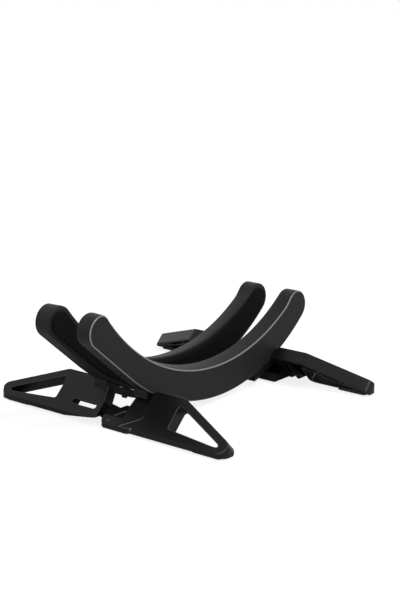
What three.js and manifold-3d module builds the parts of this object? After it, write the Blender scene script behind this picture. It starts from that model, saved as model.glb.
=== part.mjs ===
// Floor stand for one bicycle wheel. Two mirror-image halves, each a crescent cheek on two
// triangular wings, are hinged to each other just above the floor under the tyre.
// Millimetres, +Z up. +X runs along the wheel, from the tall near end to the low far end.
// Everything is built with x = 0 under the wheel's hub, then centred at the end.
import * as THREE from 'three';
import { mergeVertices } from 'three/addons/utils/BufferGeometryUtils.js';
import Module from 'manifold-3d';

const wasm = await Module();
wasm.setup();

// ---- driving dimensions -------------------------------------------------------------------
const gap = 0.3;                     // between pieces that only touch

// cheek: a band between two arcs, with round ends
const cheekFloorGap = 10;            // lowest point of the band above the floor
const cheekDepth = 56;               // band depth at its lowest point
const innerArcRadius = 317;          // the upper edge, concentric with the wheel but for a little
const outerArcExtra = 19;            // the lower edge's arc is this much larger
const outerArcX = 18;
const innerArcX = 10;
const nearEndAngle = 51.4;           // degrees from straight down to the centre of the near end
const farEndAngle = 38.9;
const nearCapRadius = 25;
const slotHalfWidth = 27;            // wheel slot, centre to the cheek's inner face
const cheekThickness = 27;
const coverThickness = 3.7;
const coverBevel = 1.2;              // edge of the cover that catches the light
const cheekRounding = 3;             // along the cheek's inner edges
const shellWall = 3.5;
const coverBossGap = 6;              // the cover's bosses end this far above the shell's floor
const ribThickness = 3;
const ribCount = 7;
const gripPadThickness = 3;
const gripPadMargin = 8;             // from the band's edges

// wings: triangular plates that lean back against the cheeks
const nearWingX = -195;              // front wall of the near wings
const farWingX = 215;
const wingAngle = 45;                // lean of the plate from the floor
const wingThickness = 22;
const wingFrontHeight = 10;          // floor to the top of the front wall
const wingHalfSpan = 222;
const tipRadius = 12;
const wingHeight = 69.5;             // along the leaning face, at the root
const kneeReach = 112;               // y where the flat top turns down to the tip
const kneeRadius = 15;
const rootReach = 60;                // y where the raised face ends
const holeInner = { y: 116, low: 21, high: 50.5 };
const holeOuterY = 194.5;
const holeOuterU = 14;
const holeRadius = 4.5;
const tipPlanRadius = 14;
const wingWall = 3.5;
const wingSkin = 5;
const footingReach = 22;             // and it starts this far before the foot
const footingHeight = 14;            // solid stretch of the front member over a foot
const platePocketRibs = [84, 140, 176];  // y of the ribs in the plate's back
const reliefStart = 82;              // the left wings clear the floor from here inwards
const reliefAngle = 8;
const strapSlot = { y: 53.5, u: 20, length: 48, width: 8 };
const saddleThickness = 12;
const saddleStart = 36;              // behind the front wall
const saddleReach = 68;              // along the cheek, from the plate's back face inwards
const saddleShy = 1.6;               // the saddle stops this short of the cheek's outer face

// hub and hinge
const hingeHeight = 9;
const pinRadius = 3;
const pinFit = 0.1;                  // radial clearance of the pin
const knuckleRadius = 6.5;
const hubLength = 65;                // along x, from the front wall
const hubHeight = 17;
const hubFlank = 5;                  // the hub block goes this far into the root
const hubOverlap = 12;               // the right hub reaches this far past the centre
const hubChamfer = 8;
const frontEar = 16.6;
const lugLength = 30;
const lugSideGap = 0.4;
const notchDepth = 8;
const recessDepth = 5;
const leftRootEnd = 20;
const pinClipRadius = 6;
const pinClipThickness = 0.8;

// rubber feet
const padHeight = 3;
const padSeat = 1.5;                 // how deep a foot sits in its recess
const tipPad = { from: 160, to: 212, depth: 20, radius: 6 };
const hubPad = { from: -44, to: 8, depth: 14, radius: 5 };

// screws
const wingScrew = { shank: 2.4, length: 26, head: 4.5, headHeight: 3, hole: 2.8, bite: 16, boss: 6.3 };
const wingScrewReach = [66, 94];     // from the wing's front wall
const coverScrew = { shank: 1.5, length: 18, head: 3.4, headHeight: 1.8, boss: 5.5 };
const coverScrewCells = [0, 2, 4, 5];  // spaces between the cheek's ribs that hold a cover screw
const hubScrew = { y: -50, z: 9, head: 3.2, shank: 1.8, length: 12, proud: 0.6 };

// ---- derived ------------------------------------------------------------------------------
const deg = Math.PI / 180;
const cheekInner = slotHalfWidth;
const cheekOuter = slotHalfWidth + cheekThickness;
const outerArcRadius = innerArcRadius + outerArcExtra;
const outerArc = { x: outerArcX, z: cheekFloorGap + outerArcRadius, r: outerArcRadius };
const innerArc = { x: innerArcX, z: cheekFloorGap + cheekDepth + innerArcRadius, r: innerArcRadius };
const nearCap = capBeyondInner(-90 - nearEndAngle, nearCapRadius);
const farCap = capBeyondInner(-90 + farEndAngle, farCapRadius());
const nearEdgeX = Math.min(nearCap.x - nearCap.r, nearWingX);
const farEdgeX = Math.max(farCap.x + farCap.r, farWingX);
const centreX = (nearEdgeX + farEdgeX) / 2;
const ribStep = (nearEndAngle + farEndAngle) / (ribCount - 1);
const ribAngles = Array.from({ length: ribCount }, (_, i) => -nearEndAngle + i * ribStep);
const coverScrewAngles = coverScrewCells.map((cell) => -nearEndAngle + (cell + 0.5) * ribStep);

// a round end whose circle touches the inner arc from outside
function capBeyondInner(angle, r) {
  const reach = innerArc.r + r;
  return { x: innerArc.x + reach * Math.cos(angle * deg), z: innerArc.z + reach * Math.sin(angle * deg), r };
}

// the far end's radius, at which its circle touches both arcs
function farCapRadius() {
  const angle = (-90 + farEndAngle) * deg;
  const dx = innerArc.x - outerArc.x;
  const dz = innerArc.z - outerArc.z;
  const along = dx * Math.cos(angle) + dz * Math.sin(angle);
  const R = innerArc.r;
  const top = outerArc.r ** 2 - dx ** 2 - dz ** 2 - R ** 2 - 2 * R * along;
  return top / (2 * (R + along + outerArc.r));
}

// ---- geometry helpers ---------------------------------------------------------------------
function solid(geometry) {
  const bare = geometry.clone();
  bare.deleteAttribute('normal');
  bare.deleteAttribute('uv');
  const merged = mergeVertices(bare, 1e-4);
  const vertProperties = Float32Array.from(merged.attributes.position.array);
  const triVerts = Uint32Array.from(merged.index.array);
  return new wasm.Manifold(new wasm.Mesh({ numProp: 3, vertProperties, triVerts }));
}

function geometryOf(manifold) {
  const mesh = manifold.getMesh();
  const geometry = new THREE.BufferGeometry();
  geometry.setAttribute('position', new THREE.BufferAttribute(Float32Array.from(mesh.vertProperties), 3));
  geometry.setIndex(Array.from(mesh.triVerts));
  return geometry;
}

const add = (...parts) => parts.reduce((a, b) => a.add(b));
const cut = (first, ...tools) => tools.reduce((a, b) => a.subtract(b), first);

function box(x0, x1, y0, y1, z0, z1) {
  const geometry = new THREE.BoxGeometry(x1 - x0, y1 - y0, z1 - z0);
  geometry.translate((x0 + x1) / 2, (y0 + y1) / 2, (z0 + z1) / 2);
  return solid(geometry);
}

// a round bar from one point to another
function bar(from, to, radius, sides = 20) {
  const a = new THREE.Vector3(...from);
  const b = new THREE.Vector3(...to);
  const geometry = new THREE.CylinderGeometry(radius, radius, a.distanceTo(b), sides);
  const turn = new THREE.Quaternion().setFromUnitVectors(new THREE.Vector3(0, 1, 0), b.clone().sub(a).normalize());
  geometry.applyQuaternion(turn);
  geometry.translate((a.x + b.x) / 2, (a.y + b.y) / 2, (a.z + b.z) / 2);
  return solid(geometry);
}

function arcPoints(circle, from, to, steps) {
  return Array.from({ length: steps + 1 }, (_, i) => {
    const angle = (from + (to - from) * i / steps) * deg;
    return new THREE.Vector2(circle.x + circle.r * Math.cos(angle), circle.z + circle.r * Math.sin(angle));
  });
}

function extrude(points, depth) {
  return new THREE.ExtrudeGeometry(new THREE.Shape(points), { depth, bevelEnabled: false, steps: 1 });
}

// the outline round a set of circles, as a belt would run
function belt(circles, steps = 20) {
  const points = circles.flatMap(({ y, u, r }) => arcPoints({ x: y, z: u, r }, 0, 360 - 360 / steps, steps - 1));
  points.sort((a, b) => a.x - b.x || a.y - b.y);
  const half = (list) => {
    const hull = [];
    for (const p of list) {
      while (hull.length > 1) {
        const [a, b] = hull.slice(-2);
        if ((b.x - a.x) * (p.y - a.y) - (b.y - a.y) * (p.x - a.x) > 1e-6) break;
        hull.pop();
      }
      hull.push(p);
    }
    return hull.slice(0, -1);
  };
  return [...half(points), ...half(points.slice().reverse())];
}

// mirror a finished shape through a plane x = at or y = 0
function mirrored(manifold, axis, at = 0) {
  const geometry = geometryOf(manifold);
  const normal = axis === 'x' ? [-1, 1, 1] : [1, -1, 1];
  geometry.scale(...normal);
  if (axis === 'x') geometry.translate(2 * at, 0, 0);
  const index = Array.from(geometry.index.array);
  for (let i = 0; i < index.length; i += 3) [index[i], index[i + 1]] = [index[i + 1], index[i]];
  geometry.setIndex(index);
  return solid(geometry);
}

// ---- cheek --------------------------------------------------------------------------------
const mainSteps = 32;
const capSteps = 10;

// the band's outline in the x-z plane, drawn in by inset all round
function cheekOutline(inset) {
  const inner = { ...innerArc, r: innerArc.r + inset };
  const outer = { ...outerArc, r: outerArc.r - inset };
  const near = { ...nearCap, r: nearCap.r - inset };
  const far = { ...farCap, r: farCap.r - inset };
  const farTangent = Math.atan2(farCap.z - outerArc.z, farCap.x - outerArc.x) / deg;
  const dx = nearCap.x - outerArc.x;
  const dz = nearCap.z - outerArc.z;
  const lean = Math.acos((outerArc.r - nearCap.r) / Math.hypot(dx, dz)) / deg;
  const nearTangent = Math.atan2(dz, dx) / deg + lean;
  return [
    ...arcPoints(inner, -90 - nearEndAngle, -90 + farEndAngle, mainSteps).slice(0, -1),
    ...arcPoints(far, 90 + farEndAngle, farTangent, capSteps).slice(0, -1),
    ...arcPoints(outer, farTangent, nearTangent, mainSteps),
    ...arcPoints(near, nearTangent, -270 - nearEndAngle, capSteps).slice(0, -1),
  ].reverse();
}

// a solid through rings of equal point counts, each an outline at its own y on the right side
function throughRings(rings) {
  const count = rings[0].points.length;
  const position = rings.flatMap(({ points, y }) => points.flatMap((p) => [p.x, -y, p.y]));
  const index = [];
  for (let r = 0; r + 1 < rings.length; r++) {
    for (let i = 0; i < count; i++) {
      const a = r * count + i;
      const b = r * count + (i + 1) % count;
      index.push(a, b, b + count, a, b + count, a + count);
    }
  }
  const cap = THREE.ShapeUtils.triangulateShape(rings[0].points, []);
  const last = (rings.length - 1) * count;
  for (const [a, b, c] of cap) {
    index.push(c, b, a);
    index.push(a + last, b + last, c + last);
  }
  const geometry = new THREE.BufferGeometry();
  geometry.setAttribute('position', new THREE.Float32BufferAttribute(position, 3));
  geometry.setIndex(index);
  return solid(geometry);
}

const band = (inset, y0, y1) => throughRings([
  { points: cheekOutline(inset), y: y0 },
  { points: cheekOutline(inset), y: y1 },
]);

// a point in the band: angle in degrees from straight down, share of the depth from the outside
function inBand(angle, share) {
  const a = (angle - 90) * deg;
  const low = { x: outerArc.x + outerArc.r * Math.cos(a), z: outerArc.z + outerArc.r * Math.sin(a) };
  const dx = low.x - innerArc.x;
  const dz = low.z - innerArc.z;
  const along = dx * Math.cos(a) + dz * Math.sin(a);
  const side = dx * dx + dz * dz - innerArc.r ** 2;
  const depth = along - Math.sqrt(along * along - side);
  return { x: low.x - depth * share * Math.cos(a), z: low.z - depth * share * Math.sin(a) };
}

function rib(angle) {
  const geometry = new THREE.BoxGeometry(ribThickness, cheekThickness * 2, cheekDepth * 2);
  const middle = inBand(angle, 0.5);
  geometry.rotateY(-angle * deg);
  geometry.translate(middle.x, -cheekOuter, middle.z);
  return solid(geometry);
}

// the screws that come up through a wing's saddle: foot point on the outer arc and its direction
function wingScrewPlaces(end) {
  const wingX = end === 'near' ? nearWingX : farWingX;
  const reach = end === 'near' ? 1 : -1;
  const y = (cheekInner + cheekOuter - coverThickness) / 2;
  return wingScrewReach.map((along) => {
    const x = wingX + reach * along;
    const z = outerArc.z - Math.sqrt(outerArc.r ** 2 - (x - outerArc.x) ** 2);
    const up = new THREE.Vector3(outerArc.x - x, 0, outerArc.z - z).normalize();
    return { foot: new THREE.Vector3(x, -y, z), up };
  });
}

const along = (place, distance) => place.foot.clone().addScaledVector(place.up, distance).toArray();
const bodyOuter = cheekOuter - coverThickness;
const coverBossEnd = cheekInner + shellWall + coverBossGap;

function cheekBody() {
  const rings = [
    { points: cheekOutline(cheekRounding), y: cheekInner },
    { points: cheekOutline(cheekRounding * 0.3), y: cheekInner + cheekRounding * 0.3 },
    { points: cheekOutline(0), y: cheekInner + cheekRounding },
    { points: cheekOutline(0), y: bodyOuter },
  ];
  let pocket = band(shellWall, cheekInner + shellWall, bodyOuter + 1);
  for (const angle of ribAngles) pocket = cut(pocket, rib(angle));
  const places = [...wingScrewPlaces('near'), ...wingScrewPlaces('far')];
  for (const place of places) {
    pocket = cut(pocket, bar(along(place, 0), along(place, wingScrew.bite + 3), wingScrew.boss, 12));
  }
  for (const angle of coverScrewAngles) {
    const { x, z } = inBand(angle, 0.5);
    pocket = cut(pocket, bar([x, -cheekInner, z], [x, -coverBossEnd, z], coverScrew.boss, 12));
  }
  let body = cut(throughRings(rings), pocket);
  for (const place of places) {
    body = cut(body, bar(along(place, -1), along(place, wingScrew.bite), wingScrew.shank + gap, 12));
  }
  for (const angle of coverScrewAngles) {
    const { x, z } = inBand(angle, 0.5);
    const headRoom = coverScrew.headHeight + gap;
    body = cut(
      body,
      bar([x, -cheekInner + 1, z], [x, -cheekInner - headRoom, z], coverScrew.head + gap, 16),
      bar([x, -cheekInner, z], [x, -coverBossEnd - 1, z], coverScrew.shank + gap, 12),
    );
  }
  return body;
}

function cheekCover() {
  const inside = bodyOuter + gap;
  let cover = throughRings([
    { points: cheekOutline(0), y: inside },
    { points: cheekOutline(0), y: cheekOuter - coverBevel },
    { points: cheekOutline(coverBevel), y: cheekOuter },
  ]);
  const bossEnd = coverBossEnd + gap;
  for (const angle of coverScrewAngles) {
    const { x, z } = inBand(angle, 0.5);
    const boss = bar([x, -bossEnd, z], [x, -inside - 1, z], coverScrew.boss, 12);
    const pilot = bar([x, -bossEnd + 1, z], [x, -cheekOuter + coverThickness / 2, z], coverScrew.shank + gap, 12);
    cover = cut(add(cover, boss), pilot);
  }
  return cover;
}

function gripPad() {
  return throughRings([
    { points: cheekOutline(gripPadMargin + 1), y: cheekInner - gripPadThickness },
    { points: cheekOutline(gripPadMargin), y: cheekInner - gripPadThickness + 1 },
    { points: cheekOutline(gripPadMargin), y: cheekInner },
  ]);
}

function coverScrewAt(angle) {
  const { x, z } = inBand(angle, 0.5);
  const headIn = cheekInner + gap / 2;
  const seat = headIn + coverScrew.headHeight;
  return add(
    bar([x, -headIn, z], [x, -seat, z], coverScrew.head, 16),
    bar([x, -seat + 0.5, z], [x, -seat - coverScrew.length, z], coverScrew.shank, 10),
  );
}

function wingScrewAt(place) {
  const head = -saddleThickness - gap;
  return add(
    bar(along(place, head - wingScrew.headHeight), along(place, head), wingScrew.head, 16),
    bar(along(place, head - 0.5), along(place, head + wingScrew.length), wingScrew.shank, 10),
  );
}

// ---- wings: built at the near end on the left (+y), then mirrored into place ---------------
const lean = wingAngle * deg;
const plateLow = -wingFrontHeight - wingThickness;

// an outline on the leaning face (y across, u up the face), pushed in by from..to
function onFace(points, from, to) {
  const geometry = extrude(points, to - from);
  geometry.translate(0, 0, from);
  const frame = new THREE.Matrix4().makeBasis(
    new THREE.Vector3(0, 1, 0),
    new THREE.Vector3(Math.cos(lean), 0, Math.sin(lean)),
    new THREE.Vector3(Math.sin(lean), 0, -Math.cos(lean)),
  );
  frame.setPosition(nearWingX, 0, wingFrontHeight);
  geometry.applyMatrix4(frame);
  return solid(geometry);
}

// the plate's own inner flank, buried in the root
const flankReach = rootReach + 2.3;

const faceCircles = (inset) => [
  { y: wingHalfSpan - tipRadius, u: tipRadius, r: tipRadius - inset },
  { y: wingHalfSpan - tipRadius, u: plateLow, r: tipRadius - inset },
  { y: kneeReach, u: wingHeight - kneeRadius, r: kneeRadius - inset },
  { y: flankReach + 4, u: wingHeight - 4, r: 4 - Math.min(inset, 3.5) },
  { y: flankReach + 4, u: plateLow, r: 4 - Math.min(inset, 3.5) },
];

const holeCircles = (outset) => [
  { y: holeInner.y, u: holeInner.low, r: holeRadius + outset },
  { y: holeInner.y, u: holeInner.high, r: holeRadius + outset },
  { y: holeOuterY, u: holeOuterU, r: holeRadius + outset },
];

// everything above the floor and behind the front wall, with the tip rounded in plan
function wingRoom() {
  const back = nearWingX + 140;
  const plan = belt([
    { y: nearWingX + tipPlanRadius, u: wingHalfSpan - tipPlanRadius, r: tipPlanRadius },
    { y: back, u: wingHalfSpan - 1, r: 1 },
    { y: back, u: -wingHalfSpan, r: 1 },
    { y: nearWingX + 1, u: -wingHalfSpan, r: 1 },
  ], 40);
  const geometry = extrude(plan, 120);
  geometry.translate(0, 0, padHeight);
  return solid(geometry);
}

// the cheek's space, which the saddle fits under; arc is the outer arc seen from this wing
function cheekSpace(arc) {
  const clear = arc.r + gap;
  return bar([arc.x, cheekInner - 8, arc.z], [arc.x, cheekOuter + gap, arc.z], clear, 160);
}

// a curved flange under the cheek, from the plate inwards
function saddle(arc) {
  const x0 = nearWingX + saddleStart;
  const y1 = cheekOuter - saddleShy;
  const outer = bar([arc.x, cheekInner - 1, arc.z], [arc.x, y1 + 1, arc.z], arc.r + saddleThickness, 160);
  const slab = box(x0, x0 + saddleReach, cheekInner, y1, padHeight, wingHeight);
  return slab.intersect(outer);
}

// moulded hollows in the back of the plate, beside the hole
function backHollows() {
  const within = onFace(belt(faceCircles(wingWall)), wingSkin, wingThickness + 1);
  const frame = onFace(belt(holeCircles(wingWall)), wingSkin - 1, wingThickness + 2);
  const ribs = platePocketRibs.map((y) => box(
    nearWingX - 1, nearWingX + 120, y - ribThickness / 2, y + ribThickness / 2, 0, 120,
  ));
  const footing = box(
    nearWingX - 1, nearWingX + 60, tipPad.from - footingReach, wingHalfSpan, 0, padHeight + footingHeight,
  );
  const front = box(nearWingX - 1, nearWingX + wingWall, 0, wingHalfSpan, 0, 40);
  return cut(within, frame, ...ribs, footing, front);
}

function padOutline({ from, to, depth, radius }, x0, grow) {
  const low = { y: x0 + radius, u: from + radius };
  const high = { y: x0 + depth - radius, u: to - radius };
  const r = radius + grow;
  return belt([
    { y: low.y, u: low.u, r }, { y: high.y, u: low.u, r },
    { y: high.y, u: high.u, r }, { y: low.y, u: high.u, r },
  ]);
}

function foot(size, x0, grow, z0, z1) {
  const geometry = extrude(padOutline(size, x0, grow), z1 - z0);
  geometry.translate(0, 0, z0);
  return solid(geometry);
}

const tipPadX = nearWingX + 4;
const hubPadX = nearWingX + 1.5;

function wing(side, end) {
  const arcX = end === 'near' ? outerArc.x : nearWingX + farWingX - outerArc.x;
  const arc = { ...outerArc, x: arcX };
  const blockEnd = side === 'left' ? leftRootEnd : cheekInner - 3;
  const rootBlock = onFace(belt([
    { y: blockEnd + 3, u: 30, r: 3 }, { y: blockEnd + 3, u: plateLow, r: 3 },
    { y: cheekInner + 4, u: wingHeight - 8, r: 4 },
    { y: rootReach + 8, u: wingHeight - 4, r: 4 }, { y: rootReach + 8, u: plateLow, r: 4 },
  ]), 0, wingThickness);
  let body = cut(onFace(belt(faceCircles(0)), 0, wingThickness), backHollows());
  body = add(body, rootBlock, saddle(arc));
  body = side === 'left' ? cut(body, floorRelief()) : add(body, hubBlock());
  body = cut(body.intersect(wingRoom()), cheekSpace(arc));
  body = cut(body, onFace(belt(holeCircles(0)), -1, wingThickness + 1));
  if (side === 'left') body = add(cut(body, strapSlotCut(), strapSlotHollow()), hingeLug());
  else body = cut(body, faceRecess(), ...hubCuts());
  for (const place of wingScrewPlaces(end)) {
    const seen = end === 'near' ? place : mirroredPlace(place);
    const left = { foot: seen.foot.clone().setY(-seen.foot.y), up: seen.up };
    const head = -saddleThickness;
    body = cut(
      body,
      bar(along(left, head - 30), along(left, 1), wingScrew.hole, 12),
      bar(along(left, head - 40), along(left, head), wingScrew.head + gap, 16),
    );
  }
  const seat = padHeight + padSeat;
  body = cut(body, foot(tipPad, tipPadX, gap, padHeight - 1, seat));
  if (side === 'right') {
    body = cut(body, foot(flipped(hubPad), hubPadX, gap, padHeight - 1, seat));
    body = cut(body, box(nearWingX - 5, nearWingX + 200, -hubOverlap - 80, -hubOverlap, -5, 120));
  }
  if (end === 'far') body = mirrored(body, 'x', (nearWingX + farWingX) / 2);
  return side === 'left' ? body : mirrored(body, 'y');
}

// the far end is worked out in the near end's place
function mirroredPlace(place) {
  const foot = place.foot.clone();
  foot.x = nearWingX + farWingX - foot.x;
  return { foot, up: new THREE.Vector3(-place.up.x, 0, place.up.z) };
}

const flipped = (size) => ({ ...size, from: -size.to, to: -size.from });

// under a left wing's root, so that the hub can rise without the root meeting the floor
function floorRelief() {
  const rise = (reliefStart + 40) * Math.tan(reliefAngle * deg);
  const points = [
    new THREE.Vector2(reliefStart, padHeight),
    new THREE.Vector2(-40, padHeight + rise),
    new THREE.Vector2(-40, padHeight - 30),
    new THREE.Vector2(reliefStart, padHeight - 30),
  ].reverse();
  return acrossX(points, nearWingX - 5, nearWingX + 150);
}

// an outline in the y-z plane, pushed along x
function acrossX(points, x0, x1) {
  const geometry = extrude(points, x1 - x0);
  geometry.applyMatrix4(new THREE.Matrix4().makeBasis(
    new THREE.Vector3(0, 1, 0), new THREE.Vector3(0, 0, 1), new THREE.Vector3(1, 0, 0),
  ));
  geometry.translate(x0, 0, 0);
  return solid(geometry);
}

function strapSlotCut() {
  const { y, u, length, width } = strapSlot;
  const r = width / 2;
  return onFace(belt([{ y: y - length / 2 + r, u, r }, { y: y + length / 2 - r, u, r }]), -1, wingThickness + 9);
}

// the root is thinned to a skin behind the strap slot
function strapSlotHollow() {
  const { y, u, length } = strapSlot;
  const ends = [y - length / 2 + 3, y + length / 2];
  const corners = ends.flatMap((at) => [{ y: at, u: u - 8, r: 3 }, { y: at, u: u + 10, r: 3 }]);
  return onFace(belt(corners), wingSkin, wingThickness + 9);
}

const lugStart = nearWingX + frontEar + lugSideGap;

function hingeLug() {
  const shape = acrossX(
    belt([{ y: 0, u: hingeHeight, r: knuckleRadius }, { y: leftRootEnd + 8, u: hingeHeight + 8, r: 5 }]),
    lugStart, lugStart + lugLength,
  );
  const bore = bar([lugStart - 1, 0, hingeHeight], [lugStart + lugLength + 1, 0, hingeHeight], pinRadius + pinFit);
  return cut(shape, bore);
}

// the right half's hub, still drawn on the left: it reaches across the centre to y = -hubOverlap
function hubBlock() {
  const x1 = nearWingX + hubLength;
  const flankEnd = rootReach + hubFlank;
  const block = box(nearWingX, x1, -hubOverlap, flankEnd, padHeight, hubHeight);
  const underFace = onFace([
    new THREE.Vector2(-hubOverlap - 1, -60), new THREE.Vector2(flankEnd + 1, -60),
    new THREE.Vector2(flankEnd + 1, 90), new THREE.Vector2(-hubOverlap - 1, 90),
  ], 0, 120);
  return block.intersect(underFace);
}

// the face steps down from the wing to the hub along the lit edge
function faceRecess() {
  return onFace([
    new THREE.Vector2(rootReach, 90), new THREE.Vector2(-hubOverlap - 1, 90),
    new THREE.Vector2(-hubOverlap - 1, -2), new THREE.Vector2(23, -2),
    new THREE.Vector2(rootReach, 20.7),
  ], -20, recessDepth);
}

function hubCuts() {
  const x0 = lugStart - lugSideGap;
  const x1 = lugStart + lugLength + lugSideGap;
  const notch = box(x0, x1, -hubOverlap - 1, notchDepth, -1, hubHeight + 60);
  const bore = bar([nearWingX + 7, 0, hingeHeight], [nearWingX + hubLength + 1, 0, hingeHeight], pinRadius + gap / 2);
  const corner = acrossX([
    new THREE.Vector2(-hubOverlap - 1, padHeight - 1),
    new THREE.Vector2(-hubOverlap + hubChamfer, padHeight - 1),
    new THREE.Vector2(-hubOverlap - 1, padHeight + hubChamfer),
  ], nearWingX - 1, nearWingX + hubLength + 1);
  const { y, z, head, shank, length } = hubScrew;
  const seat = nearWingX + 2.5;
  const screw = add(
    bar([nearWingX - 1, -y, z], [seat, -y, z], head + gap, 16),
    bar([seat - 1, -y, z], [seat + length, -y, z], shank + gap, 12),
  );
  return [notch, bore, corner, screw];
}

const atEnd = (end, manifold) => (end === 'near' ? manifold : mirrored(manifold, 'x', (nearWingX + farWingX) / 2));

function hingePin(end) {
  const x0 = nearWingX + 7.5;
  const x1 = nearWingX + hubLength + 3;
  return atEnd(end, bar([x0, 0, hingeHeight], [x1, 0, hingeHeight], pinRadius, 24));
}

// an open retaining ring round the pin, behind the rear ear
function pinClip(end) {
  const x0 = nearWingX + hubLength + gap;
  const x1 = x0 + pinClipThickness;
  const ring = bar([x0, 0, hingeHeight], [x1, 0, hingeHeight], pinClipRadius, 24);
  const hole = bar([x0 - 1, 0, hingeHeight], [x1 + 1, 0, hingeHeight], pinRadius + gap / 2, 24);
  const mouth = box(x0 - 1, x1 + 1, -1.5, 1.5, hingeHeight, hingeHeight + 10);
  return atEnd(end, cut(ring, hole, mouth));
}

function hubScrewAt(end) {
  const { y, z, head, shank, length, proud } = hubScrew;
  const seat = nearWingX + 2.2;
  return atEnd(end, add(
    bar([nearWingX - proud, y, z], [seat, y, z], head, 16),
    bar([seat - 0.5, y, z], [seat + length - 1, y, z], shank, 10),
  ));
}

function tipFoot(side, end) {
  const pad = atEnd(end, foot(tipPad, tipPadX, 0, 0, padHeight + padSeat - gap));
  return side === 'left' ? pad : mirrored(pad, 'y');
}

const hubFoot = (end) => atEnd(end, foot(hubPad, hubPadX, 0, 0, padHeight + padSeat - gap));

// ---- materials and assembly -----------------------------------------------------------------
const plastic = (color, roughness) => new THREE.MeshStandardMaterial({ color, roughness, metalness: 0 });
const metal = (color, roughness) => new THREE.MeshStandardMaterial({ color, roughness, metalness: 1 });
const finishes = {
  cheek: plastic(0x262624, 0.5),
  cover: plastic(0x2a2a29, 0.48),
  wing: plastic(0x1b1b1a, 0.42),
  rubber: plastic(0x141414, 0.85),
  foot: plastic(0x3a3a39, 0.8),
  steel: metal(0xb9bcc0, 0.3),
  blackSteel: metal(0x202022, 0.45),
};

const stand = new THREE.Group();
stand.position.x = -centreX;

function place(name, manifold, finish) {
  const mesh = new THREE.Mesh(geometryOf(manifold), finish);
  mesh.name = name;
  stand.add(mesh);
}

for (const side of ['left', 'right']) {
  const onSide = (manifold) => (side === 'right' ? manifold : mirrored(manifold, 'y'));
  place(`${side}_cheek`, onSide(cheekBody()), finishes.cheek);
  place(`${side}_cheek_cover`, onSide(cheekCover()), finishes.cover);
  place(`${side}_grip_pad`, onSide(gripPad()), finishes.rubber);
  coverScrewAngles.forEach((angle, i) => {
    place(`${side}_cover_screw_${i + 1}`, onSide(coverScrewAt(angle)), finishes.blackSteel);
  });
  for (const end of ['near', 'far']) {
    place(`${side}_${end}_wing`, wing(side, end), finishes.wing);
    place(`${side}_${end}_foot`, tipFoot(side, end), finishes.foot);
    wingScrewPlaces(end).forEach((where, i) => {
      place(`${side}_${end}_wing_screw_${i + 1}`, onSide(wingScrewAt(where)), finishes.blackSteel);
    });
  }
}

for (const end of ['near', 'far']) {
  place(`${end}_hinge_pin`, hingePin(end), finishes.steel);
  place(`${end}_pin_clip`, pinClip(end), finishes.blackSteel);
  place(`${end}_hub_foot`, hubFoot(end), finishes.foot);
  place(`${end}_hub_screw`, hubScrewAt(end), finishes.steel);
}

export default stand;
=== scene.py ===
import math

import bmesh
import bpy
from mathutils import Matrix, Vector


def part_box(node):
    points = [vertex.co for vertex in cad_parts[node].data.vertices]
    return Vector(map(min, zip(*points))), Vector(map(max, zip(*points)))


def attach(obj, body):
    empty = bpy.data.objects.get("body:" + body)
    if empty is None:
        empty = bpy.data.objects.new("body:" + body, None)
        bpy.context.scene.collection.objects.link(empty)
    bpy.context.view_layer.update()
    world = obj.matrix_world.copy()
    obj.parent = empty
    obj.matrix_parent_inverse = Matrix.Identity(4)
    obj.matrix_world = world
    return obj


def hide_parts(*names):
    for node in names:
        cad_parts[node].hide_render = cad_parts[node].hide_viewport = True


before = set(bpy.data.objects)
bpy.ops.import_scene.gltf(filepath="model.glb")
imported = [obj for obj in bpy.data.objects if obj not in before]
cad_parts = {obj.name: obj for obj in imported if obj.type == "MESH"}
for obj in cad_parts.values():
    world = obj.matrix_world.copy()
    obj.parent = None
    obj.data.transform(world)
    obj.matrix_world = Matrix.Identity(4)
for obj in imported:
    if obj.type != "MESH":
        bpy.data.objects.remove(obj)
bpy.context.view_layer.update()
print("frame loaded")

# the cheeks' sizes and the drawing helpers

cheek = {
    "floorGap": 10, "depth": 56,                # lowest point of the band, and how deep the band is there
    "innerRadius": 317, "innerX": 10,           # upper edge
    "outerRadius": 336, "outerX": 18,           # lower edge
    "nearAngle": 51.4, "farAngle": 38.9,        # from straight down to the centre of each round end
    "nearCap": 25,
    "innerFace": 27, "seam": 50.3, "seamGap": 0.3, "outerFace": 54,
    "innerRounding": 3, "crown": 4.2, "crownReach": 34, "crownFade": 3.5,
    "beadWidth": 1.5, "beadEdges": ((0.1, 0.25), (0.3, 0.12), (0.5, 0.03)),  # each inwards, outwards
    "seamEdge": (0.12, 0.1), "shy": 0.3,
    "arcSteps": 110, "capSteps": 18,
}

innerCentre = Vector((cheek["innerX"], 0, cheek["floorGap"] + cheek["depth"] + cheek["innerRadius"]))
outerCentre = Vector((cheek["outerX"], 0, cheek["floorGap"] + cheek["outerRadius"]))


def around(centre, radius, degrees):  # a point on a circle in the x-z plane, 0 at +x and 90 at +z
    angle = math.radians(degrees)
    return centre + Vector((radius * math.cos(angle), 0, radius * math.sin(angle)))


def bearing(frm, to):
    return math.degrees(math.atan2(to.z - frm.z, to.x - frm.x))


def farCapRadius():  # the circle that touches both arcs at the far end
    way = around(Vector(), 1, cheek["farAngle"] - 90)
    offset = innerCentre - outerCentre
    along = offset.dot(way)
    inner, outer = cheek["innerRadius"], cheek["outerRadius"]
    top = outer ** 2 - offset.length_squared - inner ** 2 - 2 * inner * along
    return top / (2 * (inner + along + outer))


nearCap = around(innerCentre, cheek["innerRadius"] + cheek["nearCap"], -90 - cheek["nearAngle"])
cheek["farCap"] = farCapRadius()
farCap = around(innerCentre, cheek["innerRadius"] + cheek["farCap"], cheek["farAngle"] - 90)

mm = 0.001
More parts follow.
